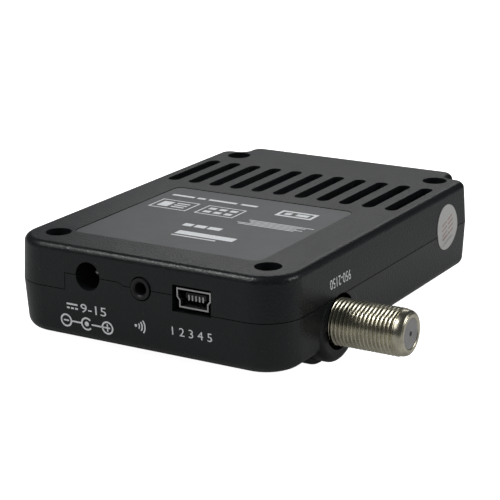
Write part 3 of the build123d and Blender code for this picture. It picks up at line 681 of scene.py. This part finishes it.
def lathe(name, rings, steps, closed=False):
    """Mesh through rings of points, each a function of the turn; ends shut with fans."""
    builder = bmesh.new()
    walls = [[builder.verts.new(ring(2 * math.pi * i / steps)) for i in range(steps)]
             for ring in rings]
    pairs = list(zip(walls, walls[1:]))
    if closed:
        pairs.append((walls[-1], walls[0]))
    for low, high in pairs:
        for i in range(steps):
            j = (i + 1) % steps
            builder.faces.new((low[i], low[j], high[j], high[i]))
    if not closed:
        builder.faces.new(walls[0][::-1])
        builder.faces.new(walls[-1])
    bmesh.ops.remove_doubles(builder, verts=builder.verts, dist=0.0005 * MM)
    return mesh_of(builder, name)


def polar(radius, z):
    """A round ring at a height, both in millimetres."""
    return lambda turn: (radius * MM * math.cos(turn), radius * MM * math.sin(turn), z * MM)


def screw_pattern():
    """Self-tapping screw in millimetres, with a cross recess, its head's top at zero."""
    head, head_tall, crown, rim = 2.4, 1.7, 0.35, 0.12
    shank, core, length = 1.3, 0.95, 10.7
    pitch, sharpness, point, blunt, step = 0.9, 3.4, 1.6, 0.12, 0.15
    slot_half, slot_side, slot_reach, slot_end, slot_depth = 0.36, 0.12, 1.45, 0.35, 0.95

    def clamp(share):
        return min(1.0, max(0.0, share))

    def thread(z):
        def ring(turn):
            phase = (z / pitch + turn / (2 * math.pi)) % 1.0
            ridge = max(0.0, 1.0 - abs(phase - 0.5) * sharpness)
            radius = (core + (shank - core) * ridge) * min(1.0, (z + length) / point + blunt)
            return polar(radius, z)(turn)
        return ring

    def recess(radius):
        def ring(turn):
            x, y = radius * math.cos(turn), radius * math.sin(turn)
            inside = (clamp((slot_half - min(abs(x), abs(y))) / slot_side)
                      * clamp((slot_reach - radius) / slot_end))
            return polar(radius, -crown * (radius / head) ** 3 - slot_depth * inside)(turn)
        return ring

    rings = [thread(-length + step * i) for i in range(int((length - head_tall) / step) + 1)]
    rings += [polar(shank, -head_tall), polar(head, -head_tall), polar(head, -crown - rim),
              polar(head - rim / 2, -crown - 0.02)]
    rings += [recess(radius) for radius in (2.2, 1.9, 1.6, 1.45, 1.3, 1.15, 1.0, 0.8, 0.6, 0.45,
                                            0.3, 0.15, 0.05)]
    return lathe("screw", rings, 48)


def make_screws():
    """Four case screws in place of the plain ones."""
    head_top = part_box("case_screws")[1].z
    first_turn, turn_step = 23, 31
    places = []
    builder = bmesh.new()
    builder.from_mesh(NODES["case_screws"].data)
    for sx in (-1, 1):
        for sy in (-1, 1):
            corner = [v.co for v in builder.verts if v.co.x * sx > 0 and v.co.y * sy > 0]
            xs, ys = ([co[k] for co in corner] for k in (0, 1))
            turn = math.radians(first_turn + turn_step * len(places))
            places.append(((min(xs) + max(xs)) / 2, (min(ys) + max(ys)) / 2, head_top, turn))
    builder.free()
    screws = repeat("cross_screws", places, screw_pattern(), "screw_steel")
    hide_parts("case_screws")


def make_power_pin():
    """Round-nosed centre pin of the power jack."""
    low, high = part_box("dc_jack_pin")
    x, z = (low.x + high.x) / 2, (low.z + high.z) / 2
    radius = (high.x - low.x) / 2
    nose = low.y + radius
    slim, shoulder, bevel, nose_rings = 0.97, nose + 2.0 * MM, 0.1 * MM, 9

    def ring(y, share):
        return lambda turn: (x + radius * share * math.cos(turn), y,
                             z + radius * share * math.sin(turn))

    rings = [ring(high.y, 1.0), ring(shoulder, 1.0), ring(shoulder - bevel, slim),
             ring(nose, slim)]
    for i in range(1, nose_rings):
        turn = math.pi / 2 * i / nose_rings
        rings.append(ring(nose - radius * math.sin(turn), slim * math.cos(turn)))
    pin = own_piece("power_pin", soften(lathe("power_pin", rings, 40), 30), "pin_metal")
    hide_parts("dc_jack_pin")


def leg_pattern():
    """Gull-wing leg in millimetres that leaves a chip along +X, its foot on zero height."""
    width, thick = 0.12, 0.09
    line = [(-0.12, 0.62), (0.12, 0.62), (0.2, 0.55), (0.3, 0.1), (0.38, 0.0), (0.75, 0.0)]
    builder = bmesh.new()
    rows = []
    for i, (x, z) in enumerate(line):
        before, after = line[max(0, i - 1)], line[min(len(line) - 1, i + 1)]
        along = Vector((after[0] - before[0], after[1] - before[1])).normalized()
        up = Vector((-along.y, along.x)) * thick
        foot, top = (x, z), (x + up.x, z + up.y)
        rows.append([builder.verts.new(Vector((px, y, pz)) * MM) for (px, pz), y in (
            (foot, -width), (foot, width), (top, width), (top, -width))])
    for row, following in zip(rows, rows[1:]):
        for i in range(4):
            j = (i + 1) % 4
            builder.faces.new((row[i], row[j], following[j], following[i]))
    builder.faces.new(rows[0][::-1])
    builder.faces.new(rows[-1])
    return mesh_of(builder, "leg")


def make_chip_legs():
    """Rows of legs along the chips' sides."""
    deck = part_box("circuit_board")[1].z
    bare_ends = 0.6
    places = []
    for node, sides, pitch in (("memory_chip", "x", 0.8), ("flash_chip", "x", 1.27),
                               ("decoder_chip", "xy", 0.65)):
        low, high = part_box(node)
        for side in sides:
            across, along = ("x", "y") if side == "x" else ("y", "x")
            first, last = getattr(low, along), getattr(high, along)
            count = int((last - first) / (pitch * MM) - bare_ends)
            middle = (first + last) / 2
            for k in range(count):
                run = middle + (k - (count - 1) / 2) * pitch * MM
                for end, turn in ((getattr(high, across), 0), (getattr(low, across), 180)):
                    spot = (end, run) if side == "x" else (run, end)
                    angle = turn if side == "x" else turn + 90
                    places.append((*spot, deck, math.radians(angle)))
    repeat("chip_legs", places, leg_pattern(), "solder")


def make_solder_joints():
    """Solder cones under the board where leads come through."""
    underside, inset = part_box("circuit_board")[0].z, 1.8 * MM
    cone = lathe("joint", [polar(0.95, 0.0), polar(0.85, -0.08), polar(0.55, -0.35),
                           polar(0.3, -0.8), polar(0.28, -1.05), polar(0.15, -1.15)], 16)
    places = []
    for node in ("filter_capacitors", "power_inductors", "clock_crystal", "ir_jack_housing"):
        low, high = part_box(node)
        for x in (low.x + inset, high.x - inset):
            for y in (low.y + inset, high.y - inset):
                places.append((x, y, underside, 0.0))
    repeat("solder_joints", places, cone, "solder")


def tip_pattern():
    """Upright contact tip in millimetres, its back on the tongue's front, its foot at zero."""
    outline = [(-0.19, 0.0), (0.19, 0.0), (0.19, 1.0), (0.11, 1.14), (-0.11, 1.14), (-0.19, 1.0)]
    sunk, proud, narrower, shorter, raised = 0.02, 0.07, 0.8, 0.97, 0.02
    builder = bmesh.new()
    back = [builder.verts.new(Vector((x, sunk, z)) * MM) for x, z in outline]
    front = [builder.verts.new(Vector((x * narrower, -proud, z * shorter + raised)) * MM)
             for x, z in outline]
    for i in range(len(outline)):
        j = (i + 1) % len(outline)
        builder.faces.new((back[i], back[j], front[j], front[i]))
    builder.faces.new(front)
    builder.faces.new(back[::-1])
    return mesh_of(builder, "tip")


def make_contact_tips():
    """Ends of the data socket's contacts, bent up over the front of its tongue."""
    low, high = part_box("usb_contacts")
    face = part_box("usb_tongue")[0].y
    count, width, drop = 5, 0.45 * MM, 0.25 * MM
    pitch = (high.x - low.x - width) / (count - 1)
    middle = (low.x + high.x) / 2
    places = [(middle + (k - (count - 1) / 2) * pitch, face, low.z - drop, 0.0)
              for k in range(count)]
    repeat("data_contact_tips", places, tip_pattern(), "tin_plate")


# ---------------------------------------------------------------- aerial connector
# One turn of thread: how far along it, and how deep the groove is there
THREAD_FORM = ((0.0, 0.0), (0.1, 0.0), (0.16, 0.1), (0.4, 0.92), (0.45, 1.0), (0.55, 1.0),
               (0.6, 0.92), (0.84, 0.1), (0.9, 0.0))


def make_aerial_connector():
    """Threaded barrel with its hexagonal base, turned as one closed wall."""
    low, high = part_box("f_connector_body")
    core_low, core_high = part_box("f_connector_insulator")
    contact_low, contact_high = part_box("f_connector_contact")
    axis = Vector((0, (low.y + high.y) / 2, (low.z + high.z) / 2))
    flange = (high.z - low.z) / 2
    core = (core_high.z - core_low.z) / 2
    contact_gap, spigot_length, nose_length, overrun = 0.1 * MM, 0.4 * MM, 1.9 * MM, 0.5 * MM
    bore = (contact_high.z - contact_low.z) / 2 + contact_gap
    spigot, neck, nose, face = 2.1 * MM, 4.5 * MM, 4.6 * MM, 3.9 * MM
    outer = 25.4 * 3 / 8 / 2 * MM
    rounding, lip, fullness, roll = 1.45 * MM, 0.1 * MM, 0.9, 0.3 * MM
    back, tip = low.x, high.x
    step, front = back + spigot_length, core_low.x
    end = tip - nose_length
    start = end + overrun - sizes().thread_run
    pitch, depth = sizes().thread_pitch, sizes().thread_depth
    run_in, run_out = 0.4 * pitch, 0.6 * pitch

    def ring(x, radius):
        return lambda turn: axis + Vector((x, radius * math.cos(turn), radius * math.sin(turn)))

    def hexagon(x):
        return lambda turn: ring(x, flange / math.cos(
            (turn + math.pi / 6) % (math.pi / 3) - math.pi / 6))(turn)

    def helix(turns, cut):
        def point(turn):
            x = start + pitch * (turns - turn / (2 * math.pi))
            x = min(end, max(start, x))
            fade = min(1.0, (x - start) / run_in, (end - x) / run_out)
            return ring(x, outer - depth * cut * fade)(turn)
        return point

    rings = [ring(back, bore), ring(back, spigot), ring(step, spigot), hexagon(step),
             hexagon(front), ring(front, neck), ring(start - 0.06 * MM, neck)]
    for k in range(int((end - start) / pitch) + 2):
        rings += [helix(k + phase, cut) for phase, cut in THREAD_FORM]
    rings += [ring(end + 0.04 * MM, nose), ring(tip - rounding, nose)]
    for i in range(1, 8):
        turn = math.pi / 2 * i / 7
        rings.append(ring(tip - rounding + (rounding - lip) * math.sin(turn),
                          face + (nose - face) * math.cos(turn) ** fullness))
    rings += [ring(tip - 0.02 * MM, face - 0.07 * MM), ring(tip, face - 0.2 * MM)]
    for i in range(7):
        turn = math.pi / 2 * i / 6
        rings.append(ring(tip - roll * (1 - math.cos(turn)), core + roll * (1 - math.sin(turn))))
    rings += [ring(front, core), ring(front, bore)]
    mesh = soften(lathe("aerial_connector", rings, 96, closed=True), 40)
    piece = own_piece("aerial_connector", mesh, "nickel_plate")
    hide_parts("f_connector_body")


# ---------------------------------------------------------------- stage
def make_camera():
    """Long lens that looks down on the jacks' corner."""
    data = bpy.data.cameras.new("camera")
    data.lens = 124.54
    data.clip_start = 0.01
    camera = bpy.data.objects.new("camera", data)
    place = (0.18326, -0.30343, 0.11814)
    azimuth, elevation, roll = (math.radians(angle) for angle in (31.373, 17.098, -0.998))
    turn = Euler((math.pi / 2 - elevation, 0, azimuth)).to_matrix()
    tilt = Euler((0, 0, roll)).to_matrix()
    camera.matrix_world = Matrix.Translation(place) @ (turn @ tilt).to_4x4()
    bpy.context.scene.collection.objects.link(camera)
    bpy.context.scene.camera = camera


def add_softbox(name, place, target, width, height, power):
    """White area light, its sizes in metres and its power in watts, turned to a target."""
    data = bpy.data.lights.new(name, "AREA")
    data.shape = "RECTANGLE"
    data.size = width
    data.size_y = height
    data.energy = power
    light = bpy.data.objects.new(name, data)
    light.location = place
    light.rotation_mode = "QUATERNION"
    light.rotation_quaternion = (Vector(target) - Vector(place)).to_track_quat("-Z", "Y")
    bpy.context.scene.collection.objects.link(light)


def floor_finish():
    """Matt floor, white to the camera, that glows a little beside the barrel."""
    f = Finish("floor")
    middle, full_glow, no_glow, strength = (75 * MM, 20 * MM, -6 * MM), 30 * MM, 95 * MM, 0.1
    seen = f.node("ShaderNodeLightPath", output="Is Camera Ray")
    tone = f.blend(seen, (0.45, 0.45, 0.45, 1), (0.85, 0.85, 0.85, 1))
    matt = f.node("ShaderNodeBsdfDiffuse", sockets={"Color": tone})
    away = f.node("ShaderNodeVectorMath", {"operation": "DISTANCE"},
                  {0: f.place, 1: middle}, "Value")
    glow = f.node("ShaderNodeEmission", sockets={
        "Strength": seen * 0.95 + f.spread(away, no_glow, full_glow, 0.0, strength)})
    f.node_output(f.node("ShaderNodeAddShader", sockets={0: matt, 1: glow}))
    return f.material


def make_floor():
    """Pale floor that touches the case's left edge and the hump, on which the part rests."""
    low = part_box("lower_shell")[0]
    rest_x, hump_x = low.x + 3.0 * MM, 25.0 * MM
    slope = math.atan2(low.z, hump_x - rest_x)
    side = sizes().floor_size / 2
    turn = Matrix.Translation((rest_x, 0, 0)) @ Matrix.Rotation(-slope, 4, "Y")
    builder = bmesh.new()
    bmesh.ops.create_grid(builder, x_segments=1, y_segments=1, size=side)
    bmesh.ops.transform(builder, matrix=turn, verts=builder.verts)
    mesh = bpy.data.meshes.new("floor")
    builder.to_mesh(mesh)
    builder.free()
    floor = bpy.data.objects.new("floor", mesh)
    bpy.context.scene.collection.objects.link(floor)
    mesh.materials.append(floor_finish())


def make_world():
    """White to the camera, soft light all round for matt surfaces, dim in reflections."""
    world = bpy.data.worlds.new("studio")
    world.use_nodes = True
    tree = world.node_tree
    tree.nodes.clear()
    path = tree.nodes.new("ShaderNodeLightPath")
    out = tree.nodes.new("ShaderNodeOutputWorld")

    def background(colour, strength):
        made = tree.nodes.new("ShaderNodeBackground")
        made.inputs["Color"].default_value = (*colour, 1)
        made.inputs["Strength"].default_value = strength
        return made.outputs[0]

    def choose(ray, otherwise, then):
        made = tree.nodes.new("ShaderNodeMixShader")
        tree.links.new(path.outputs[ray], made.inputs[0])
        tree.links.new(otherwise, made.inputs[1])
        tree.links.new(then, made.inputs[2])
        return made.outputs[0]

    lit = choose("Is Diffuse Ray", background((0.9, 0.95, 1.0), 0.06),
                 background((0.97, 0.98, 1.0), 0.42))
    tree.links.new(choose("Is Camera Ray", lit, background((1, 1, 1), 1.0)), out.inputs["Surface"])
    bpy.context.scene.world = world


def make_stage():
    """Camera, floor, world and lights."""
    make_camera()
    make_floor()
    make_world()
    add_softbox("backdrop", (-0.47, 1.05, 0.6), (0, 0, 0.02), 0.62, 0.36, 0.98)
    add_softbox("key", (-0.25, -0.21, 0.5), (0, 0, 0), 0.2, 0.14, 1.15)
    add_softbox("key_low", (-0.24, -0.37, 0.37), (0, 0, 0), 0.28, 0.18, 0.36)
    add_softbox("right_fill", (0.66, 0.28, 0.34), (0, 0, 0), 0.3, 0.3, 1.5)
    bpy.context.scene.view_settings.view_transform = "Standard"


# ---------------------------------------------------------------- operators
class MakeStage(bpy.types.Operator):
    """Set up the floor, the lights and the camera"""

    bl_idname = "receiver.make_stage"
    bl_label = "Stage"

    def execute(self, context):
        make_stage()
        return {"FINISHED"}


class FinishFrame(bpy.types.Operator):
    """Give every piece of the frame its finish"""

    bl_idname = "receiver.finish_frame"
    bl_label = "Finishes"

    def execute(self, context):
        FINISHES.update(make_finishes())
        slots = {part["node"]: part["material_slot"] for part in frame["record"]["subparts"]}
        for name, piece in NODES.items():
            piece.data.materials[0] = FINISHES[slots[name]]
        for name in ("usb_shell", "usb_contacts"):
            NODES[name].data.materials[0] = FINISHES["tin_plate"]
        return {"FINISHED"}


class PrintJackWall(bpy.types.Operator):
    """Print the marks beside the jacks"""

    bl_idname = "receiver.print_jack_wall"
    bl_label = "Jack Wall Print"

    def execute(self, context):
        print_polarity_mark()
        print_power_figures()
        print_sensor_sign()
        print_data_figures()
        print_aerial_figures()
        return {"FINISHED"}


class PrintLabels(bpy.types.Operator):
    """Print the rating plate and the paper seal"""

    bl_idname = "receiver.print_labels"
    bl_label = "Label Prints"

    def execute(self, context):
        print_rating_marks()
        print_seal_strokes()
        return {"FINISHED"}


class MakeScrews(bpy.types.Operator):
    """Turn the four case screws and the power jack's pin"""

    bl_idname = "receiver.make_screws"
    bl_label = "Screws and Pin"

    def execute(self, context):
        make_screws()
        make_power_pin()
        return {"FINISHED"}


class MakeBoardDetail(bpy.types.Operator):
    """Place the chips' legs, the solder joints and the data socket's contact tips"""

    bl_idname = "receiver.make_board_detail"
    bl_label = "Board Detail"

    def execute(self, context):
        make_chip_legs()
        make_solder_joints()
        make_contact_tips()
        return {"FINISHED"}


class MakeAerialConnector(bpy.types.Operator):
    """Turn the threaded aerial connector"""

    bl_idname = "receiver.make_aerial_connector"
    bl_label = "Aerial Connector"

    def execute(self, context):
        make_aerial_connector()
        return {"FINISHED"}


STEPS = (MakeStage, FinishFrame, MakeAerialConnector, MakeScrews, MakeBoardDetail, PrintJackWall,
         PrintLabels)


class ReceiverPanel(bpy.types.Panel):
    """Sizes, colours and steps of the receiver"""

    bl_idname = "VIEW3D_PT_receiver"
    bl_label = "Receiver"
    bl_space_type = "VIEW_3D"
    bl_region_type = "UI"
    bl_category = "Receiver"

    def draw(self, context):
        for group in (context.scene.receiver_sizes, context.scene.receiver_colours):
            for name in group.bl_rna.properties.keys():
                if name not in {"rna_type", "name"}:
                    self.layout.prop(group, name)
        for step in STEPS:
            self.layout.operator(step.bl_idname)


CLASSES = (ReceiverSizes, ReceiverColours, *STEPS, ReceiverPanel)


def register():
    for cls in CLASSES:
        bpy.utils.register_class(cls)
    bpy.types.Scene.receiver_sizes = PointerProperty(type=ReceiverSizes)
    bpy.types.Scene.receiver_colours = PointerProperty(type=ReceiverColours)


def unregister():
    del bpy.types.Scene.receiver_colours
    del bpy.types.Scene.receiver_sizes
    for cls in reversed(CLASSES):
        bpy.utils.unregister_class(cls)


def main():
    """Run every step."""
    register()
    for step in STEPS:
        group, name = step.bl_idname.split(".")
        getattr(getattr(bpy.ops, group), name)()


if __name__ == "__main__":
    main()
